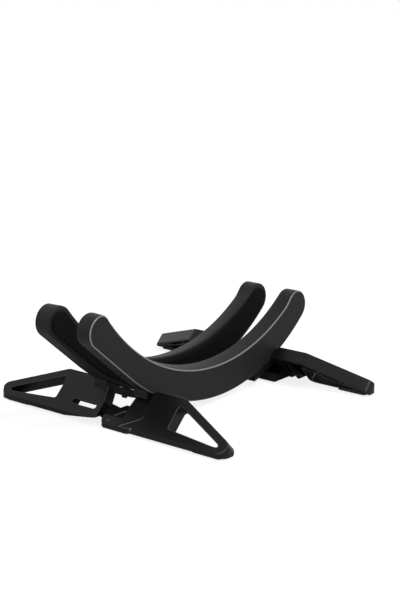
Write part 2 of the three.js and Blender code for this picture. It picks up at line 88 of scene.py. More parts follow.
# from the drawing's x to the frame's
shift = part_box("left_cheek")[0][0] / mm - (nearCap.x - cheek["nearCap"])


def temporary(bm, name):
    mesh = bpy.data.meshes.new(name)
    bm.to_mesh(mesh)
    obj = bpy.data.objects.new(name, mesh)
    bpy.context.scene.collection.objects.link(obj)
    return obj


def combine(bm, tools, how):  # joins tools to a shape or cuts them out of it
    for tool in tools:
        base, other = temporary(bm, "base"), temporary(tool, "tool")
        boolean = base.modifiers.new("combine", "BOOLEAN")
        boolean.object, boolean.operation, boolean.solver = other, how, "MANIFOLD"
        made = base.evaluated_get(bpy.context.evaluated_depsgraph_get())
        bm.clear()
        bm.from_mesh(made.to_mesh())
        made.to_mesh_clear()
        for used in (base, other):
            mesh = used.data
            bpy.data.objects.remove(used)
            bpy.data.meshes.remove(mesh)
        tool.free()
    bmesh.ops.remove_doubles(bm, verts=bm.verts, dist=0.002)
    return bm


def join(bm, *tools):
    return combine(bm, tools, "UNION")


def cut(bm, *tools):
    return combine(bm, tools, "DIFFERENCE")


def keep(bm, *tools):
    return combine(bm, tools, "INTERSECT")


def roundedFace(corners, segments):  # one face from corners (a, b, radius)
    bm = bmesh.new()
    verts = [bm.verts.new((a, b, 0)) for a, b, _ in corners]
    bm.faces.new(verts)
    points = [Vector(corner[:2]) for corner in corners]
    for i, (_, _, radius) in enumerate(corners):
        if not radius:
            continue
        before, here, after = points[i - 1], points[i], points[(i + 1) % len(points)]
        opening = (before - here).angle(after - here)
        bmesh.ops.bevel(
            bm, geom=[verts[i]], offset=radius / math.tan(opening / 2), offset_type="OFFSET",
            affect="VERTICES", segments=segments, profile=0.5, material=-1,
        )
    return bm


def extrudeBy(bm, faces, move):
    edges = list({edge for face in faces for edge in face.edges})
    made = bmesh.ops.extrude_face_region(bm, geom=faces + edges)["geom"]
    bmesh.ops.translate(bm, verts=[g for g in made if isinstance(g, bmesh.types.BMVert)], vec=move)
    return [g for g in made if isinstance(g, bmesh.types.BMFace)]


def stepIn(bm, face, steps):  # rings inside a face, each (inwards, outwards along its normal)
    rings = []
    for inwards, outwards in steps:
        rings.append(bmesh.ops.inset_individual(
            bm, faces=[face], thickness=inwards, depth=outwards, use_even_offset=True,
        )["faces"])
    return rings


def roundOver(radius, steps=4):  # the steps of a quarter round
    turns = [math.pi / 2 * i / steps for i in range(steps + 1)]
    return [
        (radius * (math.cos(a) - math.cos(b)), radius * (math.sin(b) - math.sin(a)))
        for a, b in zip(turns, turns[1:])
    ]


def faceTowards(bm, way):
    return max(bm.faces, key=lambda face: face.calc_area() * face.normal.dot(way))


# a plate with rounded corners; a rim above 0 is rounded, one below 0 flares out
def prism(corners, place, low, high, segments=8, rims=(0, 0)):
    lowRim, highRim = rims
    bm = roundedFace(corners, segments)
    bmesh.ops.translate(bm, verts=bm.verts, vec=(0, 0, low + abs(lowRim)))
    extrudeBy(bm, bm.faces[:], (0, 0, high - low - abs(lowRim) - abs(highRim)))
    bmesh.ops.recalc_face_normals(bm, faces=bm.faces)
    for way, rim in ((-1, lowRim), (1, highRim)):
        if rim:
            steps = [(math.copysign(inwards, rim), outwards) for inwards, outwards in roundOver(abs(rim))]
            stepIn(bm, faceTowards(bm, Vector((0, 0, way))), steps + [(0, 1)] * (rim < 0))
    bmesh.ops.transform(bm, matrix=place, verts=bm.verts)
    bmesh.ops.recalc_face_normals(bm, faces=bm.faces)
    return bm


def soften(bm, width, wanted):  # rounds the edges whose two faces pass a test
    joined = [edge for edge in bm.edges if len(edge.link_faces) == 2]
    edges = [edge for edge in joined if wanted(*(face.normal for face in edge.link_faces))]
    ends = list({vert for edge in edges for vert in edge.verts})
    bmesh.ops.bevel(
        bm, geom=edges + ends, offset=width, offset_type="OFFSET", affect="EDGES", segments=3, profile=0.5,
        material=-1,
    )


def block(x0, x1, y0, y1, z0, z1):
    bm = bmesh.new()
    bmesh.ops.create_cube(bm, size=1)
    bmesh.ops.scale(bm, vec=(x1 - x0, y1 - y0, z1 - z0), verts=bm.verts)
    bmesh.ops.translate(bm, vec=((x0 + x1) / 2, (y0 + y1) / 2, (z0 + z1) / 2), verts=bm.verts)
    return bm


def rod(start, end, radius, segments=32):
    start, end = Vector(start), Vector(end)
    bm = bmesh.new()
    bmesh.ops.create_cone(
        bm, cap_ends=True, segments=segments, radius1=radius, radius2=radius, depth=(end - start).length,
    )
    turn = (end - start).to_track_quat("Z", "Y").to_matrix().to_4x4()
    bmesh.ops.transform(bm, matrix=Matrix.Translation((start + end) / 2) @ turn, verts=bm.verts)
    return bm


def turned(profile, start, way, segments=32):  # a profile of (along, radius) spun round an axis
    bm = bmesh.new()
    verts = [bm.verts.new((radius, 0, along)) for along, radius in profile]
    edges = [bm.edges.new(pair) for pair in zip(verts, verts[1:])]
    bmesh.ops.spin(
        bm, geom=verts + edges, cent=(0, 0, 0), axis=(0, 0, 1), angle=math.tau,
        steps=segments, use_merge=True,
    )
    bmesh.ops.remove_doubles(bm, verts=bm.verts, dist=0.001)
    turn = Vector(way).to_track_quat("Z", "Y").to_matrix().to_4x4()
    bmesh.ops.transform(bm, matrix=Matrix.Translation(start) @ turn, verts=bm.verts)
    bmesh.ops.recalc_face_normals(bm, faces=bm.faces)
    return bm


flatFrom = 60  # square millimetres: larger faces are flat ones


def finishPiece(name, bm, look, body, nodes, side="left", end="near", bevel=0, smooth=32):
    if end == "far":
        bmesh.ops.scale(bm, vec=(-1, 1, 1), verts=bm.verts)
        bmesh.ops.translate(bm, vec=(wing["nearX"] + wing["farX"], 0, 0), verts=bm.verts)
    if side == "right":
        bmesh.ops.scale(bm, vec=(1, -1, 1), verts=bm.verts)
    if (end == "far") != (side == "right"):
        bmesh.ops.reverse_faces(bm, faces=bm.faces)
    bmesh.ops.translate(bm, vec=(shift, 0, 0), verts=bm.verts)
    bmesh.ops.scale(bm, vec=(mm, mm, mm), verts=bm.verts)
    obj = temporary(bm, name)
    bm.free()
    obj.data.shade_smooth()
    obj.data.set_sharp_from_angle(angle=math.radians(smooth))
    for polygon in obj.data.polygons:
        polygon.use_smooth = polygon.area < flatFrom * mm ** 2
    obj.data.materials.append(look)
    if bevel:
        edge = obj.modifiers.new("edges", "BEVEL")
        edge.width, edge.segments, edge.limit_method = bevel * mm, 3, "ANGLE"
        edge.angle_limit = math.radians(smooth)
        edge.use_clamp_overlap = False
        edge.miter_outer = "MITER_ARC"
        edge.harden_normals = False
    weigh = obj.modifiers.new("normals", "WEIGHTED_NORMAL")
    weigh.keep_sharp = not bevel
    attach(obj, body)
    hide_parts(*nodes)
    return obj


# materials

class Value:  # wraps a shader socket, so that maths on surfaces reads as maths
    def __init__(self, look, socket):
        self.look, self.socket = look, socket

    def maths(self, operation, first, second):
        return self.look.node("Math", {"operation": operation}, {0: first, 1: second})

    def __add__(self, other):
        return self.maths("ADD", self, other)

    def __radd__(self, other):
        return self.maths("ADD", other, self)

    def __sub__(self, other):
        return self.maths("SUBTRACT", self, other)

    def __rsub__(self, other):
        return self.maths("SUBTRACT", other, self)

    def __mul__(self, other):
        return self.maths("MULTIPLY", self, other)

    def __rmul__(self, other):
        return self.maths("MULTIPLY", other, self)


class Look:
    def __init__(self, name):
        self.material = bpy.data.materials.new(name)
        self.material.use_nodes = True
        self.tree = self.material.node_tree
        self.surface = self.tree.nodes["Principled BSDF"]

    def node(self, kind, settings=None, sockets=None, out=0):
        made = self.tree.nodes.new("ShaderNode" + kind)
        for name, value in (settings or {}).items():
            if name == "stops":
                for stop, (place, colour) in zip(made.color_ramp.elements, value):
                    stop.position, stop.color = place, colour
            else:
                setattr(made, name, value)
        for name, value in (sockets or {}).items():
            self.feed(made.inputs[name], value)
        return Value(self, made.outputs[out])

    def feed(self, socket, value):
        if isinstance(value, Value):
            self.tree.links.new(value.socket, socket)
        else:
            socket.default_value = value

    def set(self, **values):
        for name, value in values.items():
            self.feed(self.surface.inputs[name], value)


def noise(look, place, scale, detail=3.0, roughness=0.5):
    sockets = {"Vector": place, "Scale": scale, "Detail": detail, "Roughness": roughness}
    return look.node("TexNoise", {}, sockets)


def mixColour(look, factor, first, second):
    return look.node("Mix", {"data_type": "RGBA"}, {0: factor, 6: first, 7: second}, out=2)


def bump(look, height, strength, distance):
    return look.node("Bump", {}, {"Strength": strength, "Distance": distance, "Height": height})


def mouldedPlastic(name, dark, light, rough, sheen, grainScale, grainDepth, rim=None):
    look = Look(name)
    place = look.node("TexCoord", out=3)
    cloud = noise(look, place, 22.0)
    smear = noise(look, place, 70.0, 4.0)
    grain = noise(look, place, grainScale, 2.0, 0.6)
    colour = mixColour(look, cloud, dark, light)
    roughness = rough - 0.05 + 0.1 * smear + 0.04 * (1 - grain)
    # the rim attribute paints a highlight: on the marked faces it mixes in a paler colour and lowers the
    # roughness
    if rim:
        edge = look.node("Attribute", {"attribute_name": "rim"}, out=2)
        colour = mixColour(look, edge, colour, rim["colour"])
        roughness = roughness * (1 - edge) + edge * rim["rough"]
    look.set(Metallic=0.0)
    look.feed(look.surface.inputs["Base Color"], colour)
    look.feed(look.surface.inputs["Roughness"], roughness)
    look.feed(look.surface.inputs["Specular IOR Level"], sheen)
    look.feed(look.surface.inputs["Normal"], bump(look, grain + 0.35 * smear, 0.35, grainDepth))
    return look.material


def softRubber(name, dark, light, rough, sheen):
    look = Look(name)
    place = look.node("TexCoord", out=3)
    cloud = noise(look, place, 40.0, 4.0)
    speck = noise(look, place, 900.0, 2.0)
    look.feed(look.surface.inputs["Base Color"], mixColour(look, cloud, dark, light))
    look.feed(look.surface.inputs["Roughness"], rough + 0.12 * (cloud - 0.5))
    look.feed(look.surface.inputs["Specular IOR Level"], sheen)
    look.feed(look.surface.inputs["Normal"], bump(look, speck + 0.5 * cloud, 0.5, 0.0002))
    return look.material


def platedSteel(name, dark, light, rough, metal):
    look = Look(name)
    place = look.node("TexCoord", out=3)
    cloud = noise(look, place, 120.0, 4.0)
    lines = noise(look, look.node("Mapping", {}, {"Vector": place, "Scale": (40.0, 900.0, 900.0)}), 1.0)
    look.set(Metallic=metal)
    look.feed(look.surface.inputs["Base Color"], mixColour(look, cloud, dark, light))
    look.feed(look.surface.inputs["Roughness"], rough + 0.12 * (lines - 0.5) + 0.08 * cloud)
    look.feed(look.surface.inputs["Normal"], bump(look, lines, 0.2, 0.00005))
    return look.material


# painted highlight on the cheek cover's bead: a paler colour, with a lower roughness, where the rim
# attribute is set
paintedBeadHighlight = {"colour": (0.2, 0.2, 0.198, 1), "rough": 0.26}
# painted highlight on the wings' small upward edge faces: a paler colour, with a lower roughness
paintedWingHighlight = {"colour": (0.38, 0.38, 0.37, 1), "rough": 0.2}
looks = {
    "cheekShell": mouldedPlastic(
        "shellPlastic", dark=(0.0105, 0.0105, 0.0095, 1), light=(0.0145, 0.0145, 0.0132, 1),
        rough=0.5, sheen=0.17, grainScale=1300.0, grainDepth=0.00012, rim=paintedBeadHighlight,
    ),
    "cheekCover": mouldedPlastic(
        "coverPlastic", dark=(0.0105, 0.0105, 0.0105, 1), light=(0.0145, 0.0145, 0.0145, 1),
        rough=0.52, sheen=0.16, grainScale=1500.0, grainDepth=0.00008, rim=paintedBeadHighlight,
    ),
    "wing": mouldedPlastic(
        "wingPlastic", dark=(0.0045, 0.0045, 0.0042, 1), light=(0.0068, 0.0068, 0.0064, 1),
        rough=0.31, sheen=0.19, grainScale=1100.0, grainDepth=0.00009, rim=paintedWingHighlight,
    ),
    "grip": softRubber("gripRubber", (0.003, 0.003, 0.003, 1), (0.0055, 0.0055, 0.0055, 1), 0.82, 0.1),
    "foot": softRubber("footRubber", (0.035, 0.035, 0.034, 1), (0.055, 0.055, 0.053, 1), 0.72, 0.25),
    "steel": platedSteel("platedSteel", (0.09, 0.09, 0.095, 1), (0.14, 0.14, 0.145, 1), 0.4, 1.0),
    "blackSteel": platedSteel("blackSteel", (0.02, 0.02, 0.021, 1), (0.045, 0.045, 0.047, 1), 0.42, 0.6),
}
print("materials made")

# cheeks

def arcOn(bm, vert, centre, y, sweep, steps):  # carries a vertex round a centre, leaving edges behind it
    made = bmesh.ops.spin(
        bm, geom=[vert], cent=(centre.x, y, centre.z), axis=(0, 1, 0), angle=math.radians(-sweep),
        steps=steps,
    )
    return next(g for g in made["geom_last"] if isinstance(g, bmesh.types.BMVert))


def bandFace(y, inset=0):  # the crescent's outline as one face, drawn in by inset
    bm = bmesh.new()
    inset += cheek["shy"]
    inner, outer = cheek["innerRadius"] + inset, cheek["outerRadius"] - inset
    near, far = cheek["nearCap"] - inset, cheek["farCap"] - inset
    straight = math.degrees(math.acos((outer - near) / (nearCap - outerCentre).length))
    nearTangent = bearing(outerCentre, nearCap) + straight
    farTangent = bearing(outerCentre, farCap)
    start = around(innerCentre, inner, -90 - cheek["nearAngle"])
    vert = bm.verts.new((start.x, y, start.z))
    vert = arcOn(bm, vert, innerCentre, y, cheek["nearAngle"] + cheek["farAngle"], cheek["arcSteps"])
    vert = arcOn(bm, vert, farCap, y, farTangent - 90 - cheek["farAngle"], cheek["capSteps"])
    vert = arcOn(bm, vert, outerCentre, y, nearTangent - farTangent, cheek["arcSteps"])
    touch = around(nearCap, near, nearTangent)
    corner = bm.verts.new((touch.x, y, touch.z))
    bm.edges.new((vert, corner))
    arcOn(bm, corner, nearCap, y, -270 - cheek["nearAngle"] - nearTangent, cheek["capSteps"])
    bmesh.ops.remove_doubles(bm, verts=bm.verts, dist=0.01)
    bmesh.ops.edgeloop_fill(bm, edges=bm.edges)
    return bm


def bandSolid(y0, y1, loops, inset=0):
    bm = bandFace(y0, inset)
    faces = bm.faces[:]
    for _ in range(loops):
        faces = extrudeBy(bm, faces, (0, (y1 - y0) / loops, 0))
    bmesh.ops.recalc_face_normals(bm, faces=bm.faces)
    return bm


def crowned(bm):  # the upper side falls away towards the outer face
    flat = cheek["innerFace"] + cheek["innerRounding"]
    for vert in bm.verts:
        away = vert.co - innerCentre
        away.y = 0
        depth = away.length - cheek["innerRadius"]
        share = max(0.0, 1 - depth / cheek["crownReach"])
        across = max(0.0, (vert.co.y - flat) / (cheek["outerFace"] - flat))
        turn = bearing(innerCentre, vert.co) + 90
        fade = cheek["crownFade"]
        past = max(turn - cheek["farAngle"] + fade, -cheek["nearAngle"] - turn, 0) / fade
        fall = cheek["crown"] * across ** 1.7 * share * share * (3 - 2 * share)
        vert.co += away.normalized() * fall * max(0, 1 - past)


def cheekShell(side):
    rounding = cheek["innerRounding"]
    bm = bandSolid(cheek["innerFace"] + rounding, cheek["seam"] - cheek["seamGap"], 6)
    inner = faceTowards(bm, Vector((0, -1, 0)))
    stepIn(bm, inner, roundOver(rounding))
    outer = faceTowards(bm, Vector((0, 1, 0)))
    stepIn(bm, outer, [cheek["seamEdge"]])
    bm.faces.layers.float.new("rim")
    crowned(bm)
    return finishPiece(
        f"{side}CheekShell", bm, looks["cheekShell"], f"{side}_half", [f"{side}_cheek"],
        side,
    )


def cheekCover(side):
    bead = cheek["beadWidth"]
    (edgeIn, edgeUp), (fallIn, fallUp), (flatIn, flatUp) = cheek["beadEdges"]
    bm = bandSolid(cheek["seam"], cheek["outerFace"] - bead - edgeUp - fallUp - flatUp, 2)
    rim = bm.faces.layers.float.new("rim")
    outer = faceTowards(bm, Vector((0, 1, 0)))
    rings = stepIn(bm, outer, [(edgeIn, edgeUp), (bead, bead), (fallIn, fallUp), (flatIn, flatUp)])
    # the bead's faces get the painted highlight
    for face in rings[1]:
        face[rim] = 1
    inner = faceTowards(bm, Vector((0, -1, 0)))
    stepIn(bm, inner, [cheek["seamEdge"]])
    crowned(bm)
    return finishPiece(
        f"{side}CheekCover", bm, looks["cheekCover"], f"{side}_half", [f"{side}_cheek_cover"],
        side,
    )


gripPad = {
    "margin": 8, "thickness": 3, "strips": 84, "between": 0.5, "raised": 0.35,
    "before": 5, "beyond": 4,  # degrees that the strips reach past the two ends
    "smallest": 60,  # square millimetres of a whole strip
}


def gripPadPiece(side):
    base = cheek["innerFace"] - gripPad["thickness"] + gripPad["raised"]
    bm = bandSolid(cheek["innerFace"] - 0.02, base, 1, gripPad["margin"])
    sweep = cheek["nearAngle"] + cheek["farAngle"] + gripPad["before"] + gripPad["beyond"]
    for i in range(1, gripPad["strips"]):
        angle = -90 - gripPad["before"] - cheek["nearAngle"] + sweep * i / gripPad["strips"]
        normal = around(Vector(), 1, angle + 90)
        front = [f for f in bm.faces if f.normal.y < -0.9]
        limits = {e for f in front for e in f.edges} | {v for f in front for v in f.verts}
        bmesh.ops.bisect_plane(bm, geom=front + list(limits), plane_co=innerCentre, plane_no=normal)
    strips = [f for f in bm.faces if f.normal.y < -0.9 and f.calc_area() > gripPad["smallest"]]
    bmesh.ops.inset_individual(
        bm, faces=strips, thickness=gripPad["between"], depth=gripPad["raised"], use_even_offset=True,
    )
    return finishPiece(
        f"{side}GripPad", bm, looks["grip"], f"{side}_half", [f"{side}_grip_pad"], side,
    )


# wings: drawn at the near end of the left half

wing = {
    "nearX": -195, "farX": 215, "angle": 45, "thickness": 22, "frontHeight": 10, "halfSpan": 222,
    "height": 69.5, "tipRadius": 12, "kneeRadius": 15, "kneeY": 115.3, "tipU": 19.6, "low": -32,
    "rootY": 60, "flankY": 62.3, "wall": 3.5, "skin": 5, "tipPlanRadius": 14, "floor": 3,
    "ribs": (84, 140, 176), "ribThickness": 3, "footing": (138, 17),
    "reliefStart": 82, "reliefAngle": 8, "leftRootY": 20,
    "saddle": {"start": 36, "length": 68, "thickness": 12, "shy": 1.6},
    "slot": {"y": (29.5, 77.5), "u": (16, 24), "pocket": (29.5, 80.5, 9, 33)},
    # rim is the edges' rounding; rimArea and the share set where and how strongly the painted highlight
    # goes on upward edge faces
    "rim": 1.0, "rimArea": 40, "highlightShare": 0.13,
}
hole = {"y": 111.5, "low": 16.9, "high": 57.5, "tip": (219.8, 7.2), "radius": 4.5}
hub = {
    "z": 9, "pin": 3, "bore": 3.1, "knuckle": 6.5, "length": 65, "height": 17, "overlap": 12, "chamfer": 8,
    "lugRounding": 6.4, "lugArm": ((34, 13.5, 4), (32, 22.6, 4)), "notchTop": 77,
    "ear": 16.6, "lug": 30, "sideGap": 0.4, "notch": 8, "recess": 5, "flank": 5,
    "stepFrom": (23, -2), "stepTo": (60, 20.7),  # along the face and up it
}
foot = {"height": 3, "seat": 1.5, "gap": 0.3, "grooves": 8, "grooveWidth": 1.2, "grooveDepth": 0.8}
tipFoot = {"y": (160, 212), "x": 4, "depth": 20, "radius": 6}
hubFoot = {"y": (-44, 8), "x": 1.5, "depth": 14, "radius": 5}
wingScrew = {"reach": (66, 94), "head": 4.5, "headHeight": 3, "shank": 2.4, "length": 26, "hole": 2.8}
hubScrew = {
    "y": -50, "z": 9, "head": 3.2, "headHeight": 2.2, "shank": 1.8, "length": 12, "proud": 0.6, "seat": 2.5,
}
pin = {"start": 7.5, "beyond": 3, "chamfer": 0.6, "groove": 2.2, "grooveWidth": 1, "grooveDepth": 0.5}
clip = {"radius": 6, "thickness": 0.8, "play": 0.15, "mouth": 1.5, "eye": 4.6, "eyeRadius": 1.5}
seatSegments = 320  # round the cheek's whole lower circle
gap = 0.3

lean = math.radians(wing["angle"])
onFace = Matrix((  # from (y, up the face, into the plate) to the drawing
    (0, math.cos(lean), math.sin(lean), wing["nearX"]),
    (1, 0, 0, 0),
    (0, math.sin(lean), -math.cos(lean), wing["frontHeight"]),
    (0, 0, 0, 1),
))
acrossX = Matrix(((0, 0, 1, 0), (1, 0, 0, 0), (0, 1, 0, 0), (0, 0, 0, 1)))  # from (y, z, x)
flat = Matrix.Identity(4)


def plateCorners(inset, flank):
    tip, knee = wing["tipRadius"] - inset, wing["kneeRadius"] - inset
    span, high = wing["halfSpan"] - inset, wing["height"] - inset
    slope = math.atan2(wing["height"] - wing["tipU"], wing["halfSpan"] - wing["kneeY"])
    drop = inset * (1 / math.cos(slope) - math.tan(slope))
    return [
        (flank, wing["low"], 0), (span, wing["low"], 0),
        (span, wing["tipU"] - drop, tip),
        (wing["kneeY"] - inset * math.tan(slope / 2), high, knee),
        (flank, high, 4 - min(inset, 3.5)),
    ]


def holeCorners(grow):
    (tipY, tipU), r = hole["tip"], hole["radius"] + grow
    slope = math.atan2(hole["high"] - tipU, tipY - hole["y"])
    rise = grow * (1 / math.cos(slope) + math.tan(slope))
    fall = math.atan2(hole["low"] - tipU, tipY - hole["y"])
    sink = grow * (1 / math.cos(fall) - math.tan(fall))
    reach = grow / math.sin((slope - fall) / 2)
    middle = (slope + fall) / 2
    return [
        (hole["y"] - grow, hole["low"] - sink, r),
        (tipY + reach * math.cos(middle), tipU - reach * math.sin(middle), r),
        (hole["y"] - grow, hole["high"] + rise, r),
    ]


def rootCorners(end):
    flank = wing["rootY"] + 12
    return [
        (end, wing["low"], 0), (flank, wing["low"], 0), (flank, wing["height"], 4),
        (29, wing["height"] - 4, 4), (end, 33, 3),
    ]


def backPockets():
    depth = wing["thickness"] + 1
    pockets = prism(plateCorners(wing["wall"], wing["flankY"] + wing["wall"]), onFace, wing["skin"], depth)
    x, half = wing["nearX"], wing["ribThickness"] / 2
    footY, footZ = wing["footing"]
    return cut(
        pockets,
        prism(holeCorners(wing["wall"]), onFace, wing["skin"] - 1, depth + 1),
        *[block(x - 1, x + 120, y - half, y + half, 0, 120) for y in wing["ribs"]],
        block(x - 1, x + 60, footY, wing["halfSpan"], 0, footZ),
        block(x - 1, x + wing["wall"], 0, wing["halfSpan"], 0, 40),
    )


def room():  # what lies behind the front and above the feet, with the tip rounded in plan
    x, span, back = wing["nearX"], wing["halfSpan"], wing["nearX"] + 140
    corners = [(x, -span, 0), (back, -span, 0), (back, span, 0), (x, span, wing["tipPlanRadius"])]
    return prism(corners, flat, wing["floor"], 120, 12)


def floorRelief():
    y0, y1, z = -40, wing["reliefStart"], wing["floor"]
    rise = (y1 - y0) * math.tan(math.radians(wing["reliefAngle"]))
    x = wing["nearX"]
    return prism([(y1, z, 0), (y0, z + rise, 0), (y0, z - 30, 0), (y1, z - 30, 0)], acrossX, x - 5, x + 150)


def hubBlock():
    y0, y1, x = -hub["overlap"], wing["rootY"] + hub["flank"], wing["nearX"]
    bm = block(x, x + hub["length"], y0, y1, wing["floor"], hub["height"])
    behindFace = [(y0 - 1, -60, 0), (y1 + 1, -60, 0), (y1 + 1, 90, 0), (y0 - 1, 90, 0)]
    return keep(bm, prism(behindFace, onFace, 0, 120))


lugStart = wing["nearX"] + hub["ear"] + hub["sideGap"]


def hingeLug():
    low, high = hub["z"] - hub["knuckle"], hub["z"] + hub["knuckle"]
    r = hub["lugRounding"]
    corners = [(-hub["knuckle"], high, r), (-hub["knuckle"], low, r), (6, low, r), *hub["lugArm"]]
    end = lugStart + hub["lug"]
    lug = prism(corners, acrossX, lugStart, end, 10)
    return cut(lug, rod((lugStart - 1, 0, hub["z"]), (end + 1, 0, hub["z"]), hub["bore"]))


def faceStep():  # the face steps down from the wing to the hub along the lit edge
    y0 = -hub["overlap"] - 1
    corners = [
        (y0, -12, 0), (y0 + 9, -2, 3), (*hub["stepFrom"], 0), (*hub["stepTo"], 6),
        (hub["stepTo"][0], 90, 0), (y0, 90, 0),
    ]
    return prism(corners, onFace, 0, hub["recess"], 8, (-wing["rim"], 0))


def besideStep(point):  # on the rim of the step's slanting part
    y, up, deep = onFace.inverted() @ point
    (y0, up0), (y1, up1) = hub["stepFrom"], hub["stepTo"]
    away = ((y - y0) * (up1 - up0) - (up - up0) * (y1 - y0)) / math.hypot(y1 - y0, up1 - up0)
    return abs(away) < 2 and y0 - 2 < y < y1 + 2 and deep < 2


def hubCuts():
    x, y0 = wing["nearX"], -hub["overlap"] - 1
    x1 = x + hub["length"] + 1
    screw, floor, corner = hubScrew, wing["floor"] - 1, -hub["overlap"] + hub["chamfer"]
    y, z, seat = -screw["y"], screw["z"], x + screw["seat"]
    notchEnd = lugStart + hub["lug"] + hub["sideGap"]
    lowEdge = [(y0, floor, 0), (corner, floor, 0), (y0, wing["floor"] + hub["chamfer"], 0)]
    return [
        block(lugStart - hub["sideGap"], notchEnd, y0, hub["notch"], -1, hub["notchTop"]),
        rod((x + pin["start"] - 0.5, 0, hub["z"]), (x1, 0, hub["z"]), hub["pin"] + gap / 2),
        prism(lowEdge, acrossX, x - 1, x1),
        rod((x - 1, y, z), (seat, y, z), screw["head"] + gap),
        rod((seat - 1, y, z), (seat + screw["length"], y, z), screw["shank"] + gap),
    ]


# (point on the cheek's lower edge, way up) of each wing screw, drawn at the near end
def screwPlaces(end):
    y = (cheek["innerFace"] + cheek["seam"]) / 2
    centreX = cheek["outerX"] if end == "near" else wing["nearX"] + wing["farX"] - cheek["outerX"]
    places = []
    for reach in wingScrew["reach"]:
        x = wing["nearX"] + reach
        z = outerCentre.z - math.sqrt(cheek["outerRadius"] ** 2 - (x - centreX) ** 2)
        places.append((Vector((x, y, z)), Vector((centreX - x, 0, outerCentre.z - z)).normalized()))
    return places


def footShape(size, y0, y1, grow, z0, z1):
    x, r = wing["nearX"] + size["x"], size["radius"] + grow
    x0, x1 = x - grow, x + size["depth"] + grow
    corners = [(x0, y0 - grow, r), (x1, y0 - grow, r), (x1, y1 + grow, r), (x0, y1 + grow, r)]
    return prism(corners, flat, z0, z1)


def wingPiece(side, end):
    left = side == "left"
    centre = Vector(outerCentre)
    if end == "far":
        centre.x = wing["nearX"] + wing["farX"] - centre.x
    thick, saddle, x = wing["thickness"], wing["saddle"], wing["nearX"]
    rim = wing["rim"]
    bm = cut(prism(plateCorners(0, wing["flankY"]), onFace, 0, thick, 12, (rim, rim)), backPockets())
    under = rod(
        (centre.x, cheek["innerFace"] - 1, centre.z), (centre.x, cheek["outerFace"] + 1, centre.z),
        cheek["outerRadius"] + saddle["thickness"], seatSegments,
    )
    slab = block(
        x + saddle["start"], x + saddle["start"] + saddle["length"],
        cheek["innerFace"], cheek["outerFace"] - saddle["shy"], wing["floor"], wing["height"],
    )
    rootEnd = wing["leftRootY"] if left else cheek["innerFace"] - 3
    join(bm, prism(rootCorners(rootEnd), onFace, 0, thick, 8, (rim, rim)), keep(slab, under))
    if left:
        cut(bm, floorRelief())
    else:
        join(bm, hubBlock())
    keep(bm, room())
    facing = (onFace.to_3x3() @ Vector((0, 0, -1))).normalized()
    soften(bm, rim, lambda one, other: (
        max(one.dot(facing), other.dot(facing)) > 0.999 and min(abs(one.z), abs(other.z)) < 0.01
    ))
    bmesh.ops.triangulate(bm, faces=[face for face in bm.faces if len(face.verts) > 4])
    cut(bm, rod(
        (centre.x, cheek["innerFace"] - 8, centre.z), (centre.x, cheek["outerFace"] + gap, centre.z),
        cheek["outerRadius"] + gap, seatSegments,
    ))
    cut(bm, prism(holeCorners(0), onFace, 0, thick, 10, (-rim, -rim)))
    if left:
        (y0, y1), (u0, u1) = wing["slot"]["y"], wing["slot"]["u"]
        r = (u1 - u0) / 2
        a0, a1, b0, b1 = wing["slot"]["pocket"]
        cut(
            bm,
            prism([(y0, u0, r), (y1, u0, r), (y1, u1, r), (y0, u1, r)], onFace, 0, thick + 9, 8, (-rim, 0)),
            prism([(a0, b0, 3), (a1, b0, 3), (a1, b1, 3), (a0, b1, 3)], onFace, wing["skin"], thick + 9),
        )
        join(bm, hingeLug())
    else:
        cut(bm, faceStep(), *hubCuts())
    for place, up in screwPlaces(end):
        seat = -saddle["thickness"]
        cut(
            bm,
            rod(place + up * (seat - 30), place + up, wingScrew["hole"], 20),
            rod(place + up * (seat - 40), place + up * seat, wingScrew["head"] + gap),
        )
    top = wing["floor"] + foot["seat"]
    cut(bm, footShape(tipFoot, *tipFoot["y"], gap, wing["floor"] - 1, top))
    if not left:
        y0, y1 = hubFoot["y"]
        cut(bm, footShape(hubFoot, -y1, -y0, gap, wing["floor"] - 1, top))
    bmesh.ops.dissolve_limit(bm, angle_limit=math.radians(0.4), verts=bm.verts, edges=bm.edges)
    # small upward edge faces get a painted highlight: in full along the step's lit edge, a share of it
    # elsewhere
    paintedHighlightMark = bm.faces.layers.float.new("rim")
    for face in bm.faces:
        upwards = face.normal.z > 0.1 and 0.4 < face.normal.dot(facing) < 0.985
        if upwards and face.calc_area() < wing["rimArea"]:
            face[paintedHighlightMark] = 1 if not left and besideStep(face.calc_center_median()) else wing["highlightShare"]
    return finishPiece(
        f"{side}{end.capitalize()}Wing", bm, looks["wing"], f"{side}_half", [f"{side}_{end}_wing"],
        side, end,
    )


# feet, pins and screws

def footPiece(name, size, node, body, side, end):
    y0, y1 = size["y"]
    top = foot["height"] + foot["seat"] - foot["gap"]
    bm = footShape(size, y0, y1, 0, 0, top)
    x0, half = wing["nearX"] + size["x"], foot["grooveWidth"] / 2
    pitch = (y1 - y0) / (foot["grooves"] + 1)
    middles = [y0 + pitch * i for i in range(1, foot["grooves"] + 1)]
    x1, deep = x0 + size["depth"], foot["grooveDepth"]
    cut(bm, *[block(x0 - 1, x1 + 1, y - half, y + half, -1, deep) for y in middles])
    return finishPiece(name, bm, looks["foot"], body, [node], side, end, bevel=0.45)


